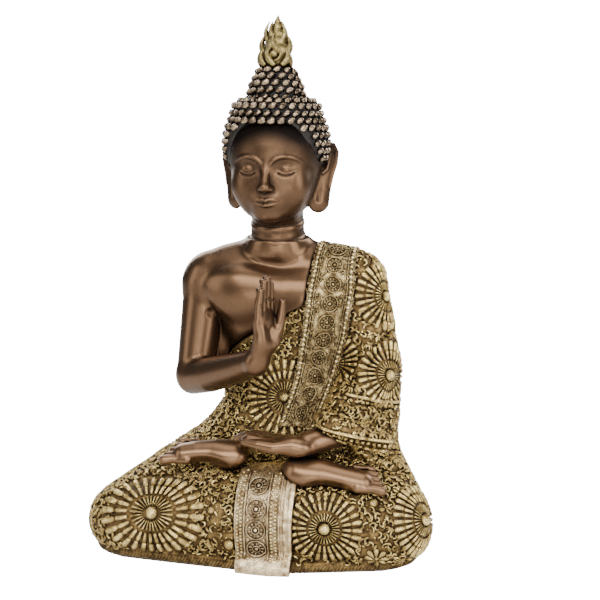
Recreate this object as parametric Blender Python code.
"""Seated Buddha statue, cast in polyresin: robed body, bare right arm raised, hair of small curls, flame finial.

Metres, +Z up. The statue faces -Y and its left hand side is +X. The origin is on the table, under the spine.
Each object is one casting or one fitting. Castings stand GAP apart where their neighbours meet them, and are
held on each other by dowels in drilled sockets.
"""

import math

import bmesh
import bpy
from mathutils import Euler, Vector
from mathutils.bvhtree import BVHTree

MM = 0.001

# Driving dimensions, in millimetres.
HEIGHT = 300.0
LEFT_KNEE_X = 94.0
RIGHT_KNEE_X = -100.0
FRONT_Y = -60.0
BACK_Y = 47.0
HEAD_WIDTH = 61.0
CHEST_DEPTH = 44.0
CLOTH = 1.6  # how far the robe stands off the body
SASH_CLOTH = 3.4  # how far the sash stands off the body
WALL = 5.0  # wall of the hollow leg casting
GAP = 0.3  # clearance between neighbouring castings
PLATE_THICKNESS = 3.0
FELT_THICKNESS = 1.2
FELT_MARGIN = 1.5
DOWEL_CLEARANCE = 0.15
PLATE_CORNER_R = 12.0
PLUG_R = 7.0

# Levels up the spine, in millimetres, worked out from the height.
CROWN_Z = 0.904 * HEIGHT
BUN_Z = 0.842 * HEIGHT
HAIRLINE_Z = 0.797 * HEIGHT
CHIN_Z = 0.624 * HEIGHT
NECK_Z = 0.562 * HEIGHT
SHOULDER_Z = 0.512 * HEIGHT
WAIST_Z = 0.235 * HEIGHT
LAP_Z = 0.193 * HEIGHT

# The spine and head stand a little behind the origin, and the head a little to the right.
SPINE_Y = 12.0
HEAD_X = -0.5
HEAD_Y = 7.0

# The raised hand's palm is turned this far from straight ahead, towards the statue's left.
PALM_TURN_DEG = 65.0
HAND_X = 3.5
HAND_Y = -41.5

# The front panel hangs between these sides.
PANEL_LEFT_X = 26.0
PANEL_RIGHT_X = -11.0
PANEL_CLOTH = 3.2  # how far the panel stands off the legs
CORD_RADIUS = 1.5
CORD_LIFT = 0.5
BORDER_STEP = 5.0

# Joints of the limbs, in millimetres.
RIGHT_SHOULDER = Vector((-40, SPINE_Y, SHOULDER_Z))
RIGHT_ELBOW = Vector((-47, -3, 95.5))
RIGHT_WRIST = Vector((0, -40, 114))
LEFT_SHOULDER = Vector((45, SPINE_Y, SHOULDER_Z - 1))
LEFT_ELBOW = Vector((57, 3, 102))
LEFT_WRIST = Vector((38, -30, 74))
RIGHT_KNEE = Vector((RIGHT_KNEE_X + 28, -33, 19))
LEFT_KNEE = Vector((LEFT_KNEE_X - 27, -31, 24))
SHIN_CROSSING = Vector((9, FRONT_Y + 26, 27))
HIPS = Vector((0, 15, 32))

# The beaded borders, each as (x, z) on the front of the statue.
NECKLINE = ((18, 141), (3, 132), (-12, 122.5), (-22, 114))
SASH_INNER = ((24, 162), (22, 140), (14, 95), (8, 79))
SASH_OUTER = ((44.5, 160), (44.5, 147), (41, 122), (34, 100))
PANEL_RIGHT = ((PANEL_RIGHT_X + 2.5, 50), (PANEL_RIGHT_X + 2, 6))
PANEL_LEFT = ((PANEL_LEFT_X - 9, 42), (PANEL_LEFT_X - 9, 6))

BRONZE = {"colour": (0.36, 0.21, 0.12), "roughness": 0.38, "metallic": 0.85}
GOLD = {"colour": (0.55, 0.41, 0.17), "roughness": 0.36, "metallic": 0.9}
PALE_GOLD = {"colour": (0.68, 0.58, 0.32), "roughness": 0.4, "metallic": 0.85}
DARK_BRONZE = {"colour": (0.11, 0.08, 0.06), "roughness": 0.42, "metallic": 0.7}
RAW_RESIN = {"colour": (0.30, 0.24, 0.19), "roughness": 0.7, "metallic": 0.0}
FELT = {"colour": (0.03, 0.05, 0.035), "roughness": 0.95, "metallic": 0.0}
STEEL = {"colour": (0.55, 0.55, 0.56), "roughness": 0.35, "metallic": 1.0}
RUBBER = {"colour": (0.03, 0.03, 0.03), "roughness": 0.8, "metallic": 0.0}


# ---------------------------------------------------------------- objects and materials


def clear_scene():
    for obj in list(bpy.data.objects):
        bpy.data.objects.remove(obj)


def material(name, look):
    """The Principled material of this name, made the first time it is asked for."""
    found = bpy.data.materials.get(name)
    if found:
        return found
    made = bpy.data.materials.new(name)
    made.use_nodes = True
    shader = made.node_tree.nodes["Principled BSDF"]
    shader.inputs["Base Color"].default_value = (*look["colour"], 1.0)
    shader.inputs["Roughness"].default_value = look["roughness"]
    shader.inputs["Metallic"].default_value = look["metallic"]
    return made


def to_object(name, bm):
    """A mesh object in metres from a bmesh in millimetres."""
    bmesh.ops.scale(bm, vec=(MM, MM, MM), verts=bm.verts)
    bmesh.ops.recalc_face_normals(bm, faces=bm.faces)
    mesh = bpy.data.meshes.new(name)
    bm.to_mesh(mesh)
    bm.free()
    obj = bpy.data.objects.new(name, mesh)
    bpy.context.scene.collection.objects.link(obj)
    return obj


def freeze(obj):
    """Replaces the object's mesh by what its modifiers make of it."""
    graph = bpy.context.evaluated_depsgraph_get()
    graph.update()
    mesh = bpy.data.meshes.new_from_object(obj.evaluated_get(graph))
    obj.modifiers.clear()
    obj.data = mesh
    return obj


def twin(obj, name):
    copy = obj.copy()
    copy.data = obj.data.copy()
    copy.name = name
    bpy.context.scene.collection.objects.link(copy)
    return copy


def remove(*objects):
    for obj in objects:
        bpy.data.objects.remove(obj)


def finish(obj, name, material_name, look):
    """Names a finished piece, gives it its material and shades it smooth except over hard edges."""
    obj.name = name
    obj.data.name = name
    obj.data.materials.clear()
    obj.data.materials.append(material(material_name, look))
    obj.data.shade_smooth()
    obj.data.set_sharp_from_angle(angle=math.radians(50))
    return obj


# ---------------------------------------------------------------- shapes


def ball(centre, radii, turn_deg=(0, 0, 0), detail=3):
    """The points of an ellipsoid. radii is one number or three."""
    bm = bmesh.new()
    bmesh.ops.create_icosphere(bm, subdivisions=detail, radius=1.0)
    if isinstance(radii, (int, float)):
        radii = (radii, radii, radii)
    turn = Euler([math.radians(a) for a in turn_deg]).to_matrix()
    points = [turn @ Vector([c * r for c, r in zip(v.co, radii)]) + Vector(centre) for v in bm.verts]
    bm.free()
    return points


def skin_over(*balls):
    """A bmesh of the convex skin stretched over some balls, as a limb is over its two ends."""
    bm = bmesh.new()
    for points in balls:
        for point in points:
            bm.verts.new(point)
    made = bmesh.ops.convex_hull(bm, input=bm.verts)
    spare = {v for v in made["geom_interior"] + made["geom_unused"] if isinstance(v, bmesh.types.BMVert)}
    bmesh.ops.delete(bm, geom=list(spare), context="VERTS")
    return bm


def merged(name, masses):
    """One object that holds several overlapping closed masses."""
    whole = bmesh.new()
    for bm in masses:
        part = bpy.data.meshes.new("mass")
        bm.to_mesh(part)
        bm.free()
        whole.from_mesh(part)
        bpy.data.meshes.remove(part)
    return to_object(name, whole)


def melt(obj, voxel, rounds):
    """Fuses overlapping masses into one skin, and softens the creases between them."""
    remesh = obj.modifiers.new("fuse", "REMESH")
    remesh.mode = "VOXEL"
    remesh.voxel_size = voxel * MM
    soften = obj.modifiers.new("soften", "SMOOTH")
    soften.factor = 0.5
    soften.iterations = rounds
    return freeze(obj)


def thin_out(obj, triangles):
    """Collapses the mesh to about this many triangles."""
    obj.data.calc_loop_triangles()
    decimate = obj.modifiers.new("thin_out", "DECIMATE")
    decimate.ratio = min(1.0, triangles / len(obj.data.loop_triangles))
    return freeze(obj)


def grow(obj, distance):
    """Moves the skin outwards by this distance."""
    push = obj.modifiers.new("grow", "DISPLACE")
    push.strength = distance * MM
    push.mid_level = 0.0
    return freeze(obj)


def grown(obj, name, distance):
    """A copy whose skin stands this far outside the original's."""
    return grow(twin(obj, name), distance)


def boolean(obj, other, operation):
    step = obj.modifiers.new(operation.lower(), "BOOLEAN")
    step.operation = operation
    step.object = other
    step.solver = "EXACT"
    return freeze(obj)


def cut(obj, *cutters):
    """Cuts each cutter out of the object and throws the cutter away."""
    for cutter in cutters:
        boolean(obj, cutter, "DIFFERENCE")
        remove(cutter)
    return obj


def keep_inside(obj, region):
    boolean(obj, region, "INTERSECT")
    remove(region)
    return obj


def clear_of(obj, *neighbours):
    """Cuts the neighbours out of the object, with the standing gap round them."""
    for neighbour in neighbours:
        cut(obj, grown(neighbour, "room", GAP))
    return obj


def keep_largest(obj):
    """Deletes the crumbs that a cut leaves beside the main body."""
    bm = bmesh.new()
    bm.from_mesh(obj.data)
    unseen = set(bm.verts)
    bodies = []
    while unseen:
        body = set()
        front = [unseen.pop()]
        while front:
            vert = front.pop()
            body.add(vert)
            near = {edge.other_vert(vert) for edge in vert.link_edges} & unseen
            unseen -= near
            front.extend(near)
        bodies.append(body)
    bodies.sort(key=len)
    for body in bodies[:-1]:
        bmesh.ops.delete(bm, geom=list(body), context="VERTS")
    bm.to_mesh(obj.data)
    bm.free()
    return obj


def prism(name, outline, near, far, along="Y"):
    """An outline in the XZ plane (or XY, along Z) extruded from near to far."""
    bm = bmesh.new()
    if along == "Y":
        corners = [bm.verts.new((x, near, z)) for x, z in outline]
        push = Vector((0, far - near, 0))
    else:
        corners = [bm.verts.new((x, y, near)) for x, y in outline]
        push = Vector((0, 0, far - near))
    face = bm.faces.new(corners)
    side = bmesh.ops.extrude_face_region(bm, geom=[face])
    moved = [g for g in side["geom"] if isinstance(g, bmesh.types.BMVert)]
    bmesh.ops.translate(bm, vec=push, verts=moved)
    return to_object(name, bm)


def block(name, low, high):
    return prism(name, [(low[0], low[2]), (high[0], low[2]), (high[0], high[2]), (low[0], high[2])], low[1], high[1])


def rod(name, start, end, radius, sides=20, chamfer=0.0):
    """A round rod between two points, with its rims chamfered if asked."""
    start, end = Vector(start), Vector(end)
    length = (end - start).length
    bm = bmesh.new()
    bmesh.ops.create_cone(
        bm, cap_ends=True, segments=sides, radius1=radius, radius2=radius, depth=length
    )
    if chamfer:
        rims = [e for e in bm.edges if abs(abs(e.verts[0].co.z + e.verts[1].co.z) - length) < 1e-6]
        bmesh.ops.bevel(bm, geom=rims, offset=chamfer, segments=1, affect="EDGES")
    turn = (end - start).to_track_quat("Z", "Y").to_matrix()
    bmesh.ops.rotate(bm, matrix=turn, verts=bm.verts)
    bmesh.ops.translate(bm, vec=(start + end) / 2, verts=bm.verts)
    return to_object(name, bm)


def lathe(name, profile, centre, sides=28, lobes=0, lobe_depth=0.0, twist_deg=0.0):
    """Rings stacked up +Z from (radius, z) pairs; lobes ripple each ring, and twist turns them as they rise."""
    bm = bmesh.new()
    low, high = profile[0][1], profile[-1][1]
    rings = []
    for radius, z in profile:
        twist = math.radians(twist_deg) * (z - low) / (high - low)
        ring = []
        for i in range(sides):
            angle = 2 * math.pi * i / sides
            r = radius * (1 + lobe_depth * math.cos(lobes * angle))
            ring.append(bm.verts.new((
                centre[0] + r * math.cos(angle + twist),
                centre[1] + r * math.sin(angle + twist),
                z,
            )))
        rings.append(ring)
    for below, above in zip(rings, rings[1:]):
        for i in range(sides):
            j = (i + 1) % sides
            bm.faces.new((below[i], below[j], above[j], above[i]))
    bm.faces.new(list(reversed(rings[0])))
    bm.faces.new(rings[-1])
    return to_object(name, bm)


# ---------------------------------------------------------------- the body masses


def trunk_masses():
    """Chest, shoulders, waist, the root of the neck, and the web that joins the right arm to the flank."""
    chest_r = (25, CHEST_DEPTH / 2, 22)
    ribs = (2, SPINE_Y + 1, 108)
    chest = skin_over(
        ball((-15, SPINE_Y, SHOULDER_Z - 11), chest_r),
        ball((19, SPINE_Y, SHOULDER_Z - 11), chest_r),
        ball(ribs, (28, 19, 16)),
    )
    waist = skin_over(ball(ribs, (28, 19, 16)), ball((0, SPINE_Y + 1, WAIST_Z + 3), (32, 22, 14)))
    yoke = skin_over(
        ball(RIGHT_SHOULDER, 14.5), ball(LEFT_SHOULDER, 14.5), ball((-1, SPINE_Y, NECK_Z - 7), (18, 13, 13))
    )
    stub = skin_over(
        ball(RIGHT_SHOULDER + Vector((-3, 0, -4)), 13), ball(RIGHT_SHOULDER + Vector((-3.4, -0.6, -9)), 12.5)
    )
    neck = skin_over(
        ball((-1, SPINE_Y - 1, NECK_Z - 1), (20, 16, 7)), ball((HEAD_X, HEAD_Y + 3, NECK_Z + 14), 15.5)
    )
    web = skin_over(
        ball((-43, SPINE_Y + 1, 140), 6), ball((-46, 8, 100), 4.5),
        ball((-26, SPINE_Y + 2, 138), 8), ball((-26, SPINE_Y + 2, 96), 8),
    )
    return [chest, waist, yoke, stub, neck, web]


def seat_of_robe():
    """The widest turn of the robe round the waist, where it spreads towards the thighs."""
    return ball((-7, SPINE_Y - 3, 61), (38, 25, 12))


def drape_foot():
    """Where the cloth that hangs from the left arm meets the thigh."""
    return ball((47, 3, 57), (21, 22, 12.5))


def left_drape():
    """The cloth that hangs from the covered left arm to the thigh."""
    return skin_over(
        ball(LEFT_ELBOW + Vector((0, 4, -8)), 12.5), ball((34, SPINE_Y, 92), 12), drape_foot(), ball((30, -14, 64), 9)
    )


def robe_masses():
    """The robed left arm, the cloth between it and the body, and the robe's spread below the waist."""
    upper = skin_over(ball(LEFT_SHOULDER, 15), ball(LEFT_ELBOW, 13.5))
    fore = skin_over(ball(LEFT_ELBOW, 13.5), ball(LEFT_WRIST + Vector((3, 4, 1)), 10))
    fill = skin_over(ball((30, SPINE_Y + 1, 140), 14), ball((30, SPINE_Y + 1, 92), 14), ball(LEFT_ELBOW, 9))
    spread = skin_over(ball((0, SPINE_Y + 1, 83), (28, 20, 6)), seat_of_robe())
    return [upper, fore, fill, left_drape(), spread]


def leg_masses():
    """Crossed legs under the robe: thighs, knees, the shins crossing in front, the hips and the lap."""
    right_knee = ball(RIGHT_KNEE, (26.5, 24, 21))
    left_knee = ball(LEFT_KNEE, (25.5, 24, 23.5))
    crossing = ball(SHIN_CROSSING, (26, 24, 25))
    right_thigh = ball((-34, 4, 38), (30, 26, 26))
    left_thigh = ball((36, 4, 38), (32, 26, 27))
    hips = ball(HIPS, (46, BACK_Y - HIPS.y - CLOTH, 33))
    lap = skin_over(ball((0, -6, 34), (44, 28, 24)), ball((-10, SPINE_Y - 4, 60), (32, 20, 12)))
    waist = skin_over(ball((0, SPINE_Y + 1, 83), (28, 20, 6)), seat_of_robe())
    back = [ball((side * 34, 20, 6), (20, 22, 9)) for side in (-1, 1)]
    hem = skin_over(
        ball((9, FRONT_Y + 18.5, 4), (30, 20.5, 6)),
        ball(RIGHT_KNEE + Vector((0, -1, -15)), (20, 17, 7)),
        ball(LEFT_KNEE + Vector((-3, 0, -20)), (15, 15, 6)),
        *back,
    )
    return [
        skin_over(right_knee, crossing),
        skin_over(left_knee, crossing),
        skin_over(right_knee, right_thigh),
        skin_over(left_knee, left_thigh, drape_foot()),
        skin_over(hips, right_thigh, seat_of_robe()),
        skin_over(hips, left_thigh),
        lap,
        waist,
        left_drape(),
        skin_over(hips, *back),
        hem,
    ]


def hand_frame(across, depth, z):
    """A point of the raised hand: across it towards the thumb, out of its palm, and up."""
    turn = math.radians(PALM_TURN_DEG)
    thumb = Vector((math.cos(turn), math.sin(turn), 0))
    palm = Vector((math.sin(turn), -math.cos(turn), 0))
    return Vector((HAND_X, HAND_Y, z)) + across * thumb + depth * palm


def right_arm_masses():
    """The bare arm: bent at the elbow, forearm across the body, open hand raised with its fingers up."""
    upper = skin_over(ball(RIGHT_SHOULDER + Vector((-3, 0, -4)), 13), ball(RIGHT_ELBOW + Vector((0, 0, 1)), 10.5))
    fore = skin_over(ball(RIGHT_ELBOW, 10.5), ball(RIGHT_WRIST + Vector((-16, 12, -6)), 8.6))
    wrist = skin_over(ball(RIGHT_WRIST + Vector((-16, 12, -6)), 8.6), ball(hand_frame(-1, 0, 117), 6.2))
    turn = (0, 0, PALM_TURN_DEG)
    palm = skin_over(
        ball(hand_frame(-1, 0, 118), (6.2, 4.6, 5), turn), ball(hand_frame(0, 0, 132), (8.2, 3.6, 5), turn)
    )
    masses = [upper, fore, wrist, palm]
    for across, tip in ((-6, 149), (-2.2, 154), (1.8, 155.5), (5.6, 153)):
        masses.append(skin_over(
            ball(hand_frame(across, 0, 131), 2.5, detail=2), ball(hand_frame(across * 0.8, 1, tip - 2), 2, detail=2)
        ))
    masses.append(skin_over(
        ball(hand_frame(5, 2, 120), 3.6, detail=2), ball(hand_frame(8.6, 3.4, 131), 2.9, detail=2)
    ))
    masses.append(skin_over(
        ball(hand_frame(8.6, 3.4, 131), 2.9, detail=2), ball(hand_frame(8.8, 4.4, 141), 2.2, detail=2)
    ))
    return masses


def left_hand_masses():
    """The open left hand, palm up in the lap, fingers pointing to the statue's right."""
    wrist = ball(LEFT_WRIST, 7.5)
    heel = ball((27, -42, 70), (8, 9, 6.5))
    knuckles = ball((13, -42, 68.5), (6, 10, 5))
    masses = [skin_over(wrist, heel), skin_over(heel, knuckles)]
    for y, tip in ((-49, -6), (-44.5, -10), (-40, -9.5), (-35.5, -5)):
        masses.append(skin_over(
            ball((13, y, 68.5), 3.1, detail=2), ball((tip, y, 68), 2.5, detail=2)
        ))
    masses.append(skin_over(
        ball((26, -47, 73), 4, detail=2), ball((16, -46.5, 76), 3.3, detail=2), ball((5, -45, 76.5), 2.5, detail=2)
    ))
    return masses


def foot_masses(heel, ball_of_foot, reach):
    """A foot on the opposite thigh with its sole turned up and its big toe to the front."""
    way = 1 if reach > 0 else -1
    middle = heel.lerp(ball_of_foot, 0.5)
    tilt = (40, 0, 0)
    masses = [
        skin_over(ball(heel, (8, 9, 7.5), tilt), ball(middle, (9, 8.5, 6), tilt)),
        skin_over(ball(middle, (9, 8.5, 6), tilt), ball(ball_of_foot, (7, 10, 5), tilt)),
    ]
    for k in range(5):
        share = k / 4
        root = ball_of_foot + Vector((way * 3, -7 + 14 * share, -5 + 9 * share))
        radius = 3.3 - 1.2 * min(1.0, 2 * share)
        tip = root + Vector((reach - way * 4.5 * share, 0, 0))
        masses.append(skin_over(ball(root, radius, detail=2), ball(tip, radius * 0.9, detail=2)))
    return masses


# ---------------------------------------------------------------- regions of cloth, seen from the front


def robe_region(name, margin=0.0):
    """The robed side of the trunk: right of the sash's inner edge and below the line under the right breast."""
    m = margin
    outline = [
        (26 - m, 200), (20 - m, SHOULDER_Z - 13), (19 - m, SHOULDER_Z - 15 + m), (3, 131 + m), (-16, 120 + m),
        (-27 - m, 111 + m), (-31 - m, 92 + m), (-80, 86 + m), (-80, -20), (120, -20), (120, 200),
    ]
    return prism(name, outline, -90, 90)


def sash_region(name, margin=0.0):
    """The folded sash: over the left shoulder and down the front to the lap."""
    m = margin
    outline = [
        (27 - m, 200), (20 - m, SHOULDER_Z - 14), (12 - m, 95), (4 - m, WAIST_Z - 2), (27 + m, WAIST_Z - 2),
        (33 + m, 88), (43 + m, 122), (47 + m, 148), (47 + m, 200),
    ]
    return prism(name, outline, -90, 90)


# ---------------------------------------------------------------- castings


def make_head():
    """Skull, face, neck and the two long ears in one casting."""
    half = HEAD_WIDTH / 2
    x, y = HEAD_X, HEAD_Y
    skull = ball((x, y + 1, 223), (half - 4.5, 28, 26.5))
    cheeks = ball((x, y - 7, 208), (24, 20, 15))
    jaw = ball((x, y - 13, CHIN_Z + 12), (15, 13, 12))
    nose = skin_over(
        ball((x, y - 27, 219), (2.4, 3, 3)), ball((x, y - 31, 206), (4.2, 3.4, 3.0))
    )
    mouth = skin_over(ball((x - 4, y - 25.5, 198), 2.6), ball((x + 4, y - 25.5, 198), 2.6))
    neck = skin_over(
        ball((x, y + 3, CHIN_Z + 14), 15.5), ball((x, y + 3, NECK_Z + 6), 16.2)
    )
    masses = [skin_over(skull, cheeks, jaw), nose, mouth, neck]
    for side in (-1, 1):
        top = ball((x + side * 29.5, y + 2, 219), (3.2, 6, 7.5), (0, side * 14, 0))
        waist = ball((x + side * 27, y, 205), (3, 3.6, 7))
        lobe = ball((x + side * 28.5, y - 1, 194.5), (3, 5, 5.5), (0, side * -14, 0))
        masses += [skin_over(top, waist), skin_over(waist, lobe)]
    head = thin_out(melt(merged("head", masses), 0.9, 3), 1400)
    cut(head, block("below_neck", (-60, -60, 0), (60, 80, NECK_Z + 8)))
    return finish(keep_largest(head), "head", "bronze_skin", BRONZE)


def make_hair(head):
    """The cap of curls with its bun, a shell that sits over the skull."""
    half = HEAD_WIDTH / 2
    x, y = HEAD_X, HEAD_Y
    cap = skin_over(
        ball((x, y + 2, 224), (half + 1.2, 32.5, 22)),
        ball((x, y + 2, 237), (half - 0.3, 30, 15.5)),
        ball((x, y + 8, 206), (24, 22, 16)),
    )
    bun = [
        skin_over(ball((x, y, BUN_Z - 2), (18, 18, 6)), ball((x, y, BUN_Z + 5), (16, 16, 5))),
        skin_over(ball((x, y, BUN_Z + 7), (15, 15, 5)), ball((x, y, BUN_Z + 12), (12.5, 12.5, 6))),
        skin_over(ball((x, y, BUN_Z + 12), (11, 11, 6)), ball((x, y, CROWN_Z), (8.4, 8.4, 3))),
    ]
    hair = thin_out(melt(merged("hair_cap", [cap, *bun]), 1.0, 2), 1000)
    opening_r = 25.5
    face_top = HAIRLINE_Z - opening_r
    steps = 16
    arch = [math.pi * i / steps for i in range(steps + 1)]
    oval = [(x + opening_r * math.cos(a), face_top + opening_r * math.sin(a)) for a in arch]
    oval += [(x - opening_r, 150), (x + opening_r, 150)]
    cut(
        hair,
        prism("face_opening", oval, -70, y - 3),
        block("ear_opening", (-50, -60, 150), (50, y + 10, 225)),
        block("nape", (-50, -60, 150), (50, 80, 193)),
        block("crown_seat", (-20, -20, CROWN_Z), (20, 40, HEIGHT)),
    )
    clear_of(hair, head)
    return finish(keep_largest(hair), "hair_cap", "dark_curls", DARK_BRONZE)


def make_finial():
    """The flame that stands on the bun."""
    base = CROWN_Z + GAP
    outline = (
        (0.84, 0.0), (0.96, 0.10), (1.0, 0.25), (0.94, 0.40), (0.76, 0.55), (0.56, 0.68), (0.36, 0.80),
        (0.18, 0.91), (0.04, 1.0),
    )
    widest = 9.8
    profile = [(widest * r, base + (HEIGHT - base) * up) for r, up in outline]
    finial = lathe("flame_finial", profile, (HEAD_X, HEAD_Y), sides=20, lobes=5, lobe_depth=0.06, twist_deg=50)
    return finish(finial, "flame_finial", "pale_gold", PALE_GOLD)


def make_trunk():
    """(bare trunk, robed trunk, trunk with the sash's thickness too), each a full skin."""
    bare = melt(merged("trunk", trunk_masses()), 1.4, 6)
    robed = grow(melt(merged("robed", trunk_masses() + robe_masses()), 1.6, 6), CLOTH)
    sashed = thin_out(melt(grown(robed, "sashed", SASH_CLOTH - CLOTH), 1.4, 1), 2200)
    return bare, thin_out(robed, 2400), sashed


def make_right_arm():
    arm = thin_out(melt(merged("right_arm", right_arm_masses()), 0.8, 3), 1300)
    cut(arm, block("shoulder_face", (-90, -60, SHOULDER_Z - 12), (-25, 60, 220)))
    return finish(keep_largest(arm), "right_arm", "bronze_skin", BRONZE)


def make_chest(bare, right_arm):
    """The bare right half of the chest, with the shoulder, the flank and the root of the neck."""
    chest = thin_out(bare, 1500)
    cut(
        chest,
        robe_region("robed_side", GAP),
        block("above_neck", (-60, -60, NECK_Z + 8 - GAP), (60, 80, 260)),
    )
    clear_of(chest, right_arm)
    return finish(keep_largest(chest), "bare_torso", "bronze_skin", BRONZE)


def make_robe_body(robed, right_arm):
    """The robed half of the trunk with the covered left arm."""
    body = twin(robed, "robe_body")
    keep_inside(body, robe_region("robed_side"))
    cut(body, block("below_waist", (-150, -90, -10), (150, 90, WAIST_Z + GAP)))
    clear_of(body, right_arm)
    return finish(keep_largest(body), "robe_body", "gilded_robe", GOLD)


def make_sash(sashed, robed):
    """The folded sash over the left shoulder, a thin shell on the robe. It ends half way down the back."""
    sash = keep_inside(sashed, sash_region("sash_side"))
    cut(
        sash,
        block("below_sash", (-150, -90, -10), (150, 90, WAIST_Z + GAP)),
        block("back_end", (-60, SPINE_Y + 6, -10), (120, 90, 104)),
    )
    clear_of(sash, robed)
    return finish(keep_largest(sash), "shoulder_sash", "gilded_sash", PALE_GOLD)


def plate_outline(margin):
    """The rounded outline of the closing plate, from above. margin grows it."""
    quarter = 0.5 * math.pi
    corners = ((-60, -22, 2), (52, -22, 3), (34, 18, 0), (-34, 18, 1))
    radius = PLATE_CORNER_R + margin
    steps = 5
    outline = []
    for x, y, first in corners:
        for i in range(steps + 1):
            angle = quarter * (first + i / steps)
            outline.append((x + radius * math.cos(angle), y + radius * math.sin(angle)))
    return outline


def make_hollow():
    """The hollow of the leg casting, which opens underneath at the closing plate's seat."""
    inner = [
        skin_over(ball(RIGHT_KNEE + Vector((6, 1, 1)), (19, 16, 13)), ball((-10, -8, 26), (24, 20, 16))),
        skin_over(ball(LEFT_KNEE + Vector((-6, 1, -1)), (19, 16, 14)), ball((14, -8, 26), (24, 20, 16))),
        skin_over(ball(HIPS, (36, 22, 18)), ball((0, -12, 26), (34, 20, 16))),
    ]
    hollow = thin_out(melt(merged("hollow", inner), 3.0, 4), 500)
    seat_top = FELT_THICKNESS + GAP + PLATE_THICKNESS + WALL
    mouth = prism("mouth", plate_outline(-WALL), -10, seat_top, along="Z")
    seat = prism("seat", plate_outline(GAP), -10, FELT_THICKNESS + 2 * GAP + PLATE_THICKNESS, along="Z")
    for opening in (mouth, seat):
        boolean(hollow, opening, "UNION")
        remove(opening)
    return hollow


def make_legs():
    """The crossed legs under the robe: a hollow casting, open underneath, flat where it stands."""
    legs = grow(melt(merged("robe_legs", leg_masses()), 2.0, 5), CLOTH)
    return cut(thin_out(legs, 2100), block("above_waist", (-160, -120, WAIST_Z), (160, 120, 200)))


def make_felt(legs):
    """The felt glued under the legs, a little inside their edge."""
    felt = grow(twin(legs, "felt"), -FELT_MARGIN)
    keep_inside(felt, block("felt_layer", (-160, -120, 0), (160, 120, FELT_THICKNESS)))
    return finish(keep_largest(felt), "felt_pad", "green_felt", FELT)


def make_plate():
    """The plate that closes the hollow, with a hole for the filling plug."""
    low = FELT_THICKNESS + GAP
    plate = prism("base_plate", plate_outline(0), low, low + PLATE_THICKNESS, along="Z")
    cut(plate, rod("plug_hole", (0, -5, -5), (0, -5, 20), PLUG_R, sides=20))
    return finish(plate, "base_plate", "resin", RAW_RESIN)


def make_plug():
    """The soft plug of the filling hole, with a lip that grips the inner side of the plate."""
    low = FELT_THICKNESS + GAP
    top = low + PLATE_THICKNESS + GAP
    profile = [
        (PLUG_R - GAP - 0.4, low), (PLUG_R - GAP, low + 0.4), (PLUG_R - GAP, top), (PLUG_R + 0.9, top),
        (PLUG_R + 0.9, top + 1), (PLUG_R - 1.2, top + 3),
    ]
    plug = lathe("filling_plug", profile, (0, -5), sides=20)
    return finish(plug, "filling_plug", "rubber", RUBBER)


def make_foot(name, heel, ball_of_foot, reach, neighbours):
    foot = thin_out(melt(merged(name, foot_masses(heel, ball_of_foot, reach)), 0.8, 3), 560)
    clear_of(foot, *neighbours)
    return finish(keep_largest(foot), name, "bronze_skin", BRONZE)


def make_left_hand(neighbours):
    hand = thin_out(melt(merged("left_hand", left_hand_masses()), 0.7, 3), 760)
    clear_of(hand, *neighbours)
    return finish(keep_largest(hand), "left_hand", "bronze_skin", BRONZE)


def make_panel(legs, neighbours):
    """The pleated end of the under-robe that hangs over the crossed shins, a thin shell on the legs."""
    panel = thin_out(melt(grown(legs, "panel", PANEL_CLOTH), 1.6, 1), 2600)
    left, right = PANEL_LEFT_X, PANEL_RIGHT_X
    low = FELT_THICKNESS + GAP
    outline = [(right + 2, 90), (right - 1, low), (left + 2, low), (left - 1, 90)]
    keep_inside(panel, prism("panel_side", outline, -100, FRONT_Y + 26))
    clear_of(panel, legs, *neighbours)
    return finish(keep_largest(panel), "front_panel", "gilded_sash", PALE_GOLD)


def tube(name, path, radius, sides=8):
    """A round cord along a path of points, closed at both ends."""
    bm = bmesh.new()
    rings = []
    for i, centre in enumerate(path):
        along = (path[min(i + 1, len(path) - 1)] - path[max(i - 1, 0)]).normalized()
        across = along.cross(Vector((0, 1, 0))).normalized()
        out = along.cross(across)
        angles = [2 * math.pi * k / sides for k in range(sides)]
        rings.append([bm.verts.new(centre + radius * (math.cos(a) * across + math.sin(a) * out)) for a in angles])
    for first, second in zip(rings, rings[1:]):
        for k in range(sides):
            j = (k + 1) % sides
            bm.faces.new((first[k], first[j], second[j], second[k]))
    bm.faces.new(rings[0])
    bm.faces.new(rings[-1])
    return to_object(name, bm)


def border(name, corners, skin, neighbours=()):
    """A half round border cord laid on the front of a skin. corners are (x, z)."""
    surface = BVHTree.FromObject(skin, bpy.context.evaluated_depsgraph_get())
    path = []
    for (x0, z0), (x1, z1) in zip(corners, corners[1:]):
        steps = max(2, round(math.hypot(x1 - x0, z1 - z0) / BORDER_STEP))
        for i in range(steps):
            start = Vector((x0 + (x1 - x0) * i / steps, -120, z0 + (z1 - z0) * i / steps))
            hit = surface.ray_cast(start * MM, Vector((0, 1, 0)))
            if hit[0]:
                path.append(hit[0] / MM + hit[1] * CORD_LIFT)
    cord = tube(name, path, CORD_RADIUS)
    clear_of(cord, skin, *neighbours)
    return finish(keep_largest(cord), name, "gilded_beads", GOLD)


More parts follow.
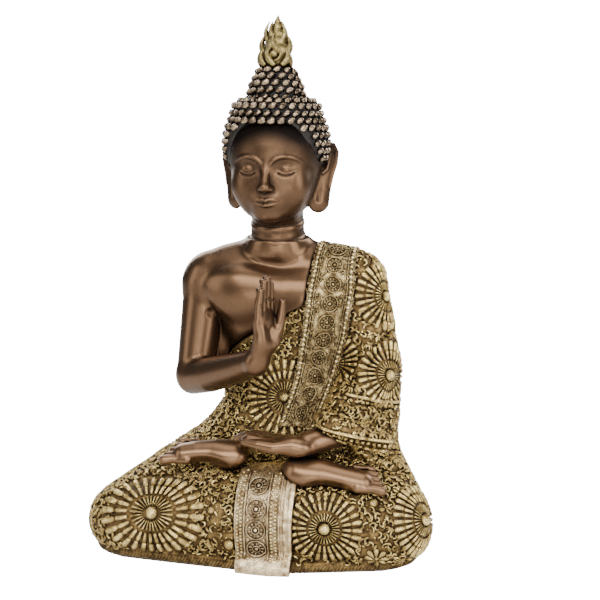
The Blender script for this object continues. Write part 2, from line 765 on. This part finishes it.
def fasten(name, start, end, radius, castings):
    """A steel dowel between castings, with a socket drilled for it in each."""
    start, end = Vector(start), Vector(end)
    spare = (end - start).normalized() * GAP
    for casting in castings:
        cut(casting, rod("socket", start - spare, end + spare, radius + DOWEL_CLEARANCE, sides=12))
    dowel = rod(name, start, end, radius, sides=12, chamfer=0.4)
    return finish(dowel, name, "steel", STEEL)


def build():
    clear_scene()
    head = make_head()
    hair = make_hair(head)
    finial = make_finial()
    bare, robed, sashed = make_trunk()
    right_arm = make_right_arm()
    chest = make_chest(bare, right_arm)
    robe_body = make_robe_body(robed, right_arm)
    sash = make_sash(sashed, robed)
    neckline = border("neckline_border", NECKLINE, robed, [sash])
    border("sash_border_inner", SASH_INNER, sash, [robed, neckline])
    border("sash_border_outer", SASH_OUTER, sash, [robed])
    remove(robed)
    legs = make_legs()
    make_felt(legs)
    cut(legs, block("table", (-160, -120, -60), (160, 120, FELT_THICKNESS + GAP)))
    right_foot = make_foot("right_foot", Vector((23, -45, 58)), Vector((53, -45, 53)), 13, [legs])
    left_foot = make_foot("left_foot", Vector((-12, -36, 60)), Vector((-42, -35, 58)), -12, [legs, right_foot])
    left_hand = make_left_hand([robe_body, sash, legs, right_foot, left_foot])
    panel = make_panel(legs, [left_hand, right_foot, left_foot])
    border("panel_border_right", PANEL_RIGHT, panel, [left_foot])
    border("panel_border_left", PANEL_LEFT, panel, [right_foot])
    finish(keep_largest(cut(legs, make_hollow())), "robe_legs", "gilded_robe", GOLD)
    make_plate()
    make_plug()
    neck = (HEAD_X, HEAD_Y + 3)
    crown = (HEAD_X, HEAD_Y)
    fasten("neck_dowel", (*neck, NECK_Z - 8), (*neck, CHIN_Z + 14), 2.5, [chest, head])
    fasten("finial_pin", (*crown, CROWN_Z - 8), (*crown, CROWN_Z + 9), 1.2, [hair, finial])
    fasten("shoulder_dowel", (-43, 10, 128), (-43, 11, 154), 2.0, [chest, right_arm])
    for side, x in (("left", 14), ("right", -14)):
        fasten(f"waist_dowel_{side}", (x, SPINE_Y, 58), (x, SPINE_Y, 84), 2.5, [robe_body, legs])
    fasten("wrist_pin", (31, -37, 72), (47, -23, 78), 1.5, [left_hand, robe_body])


build()
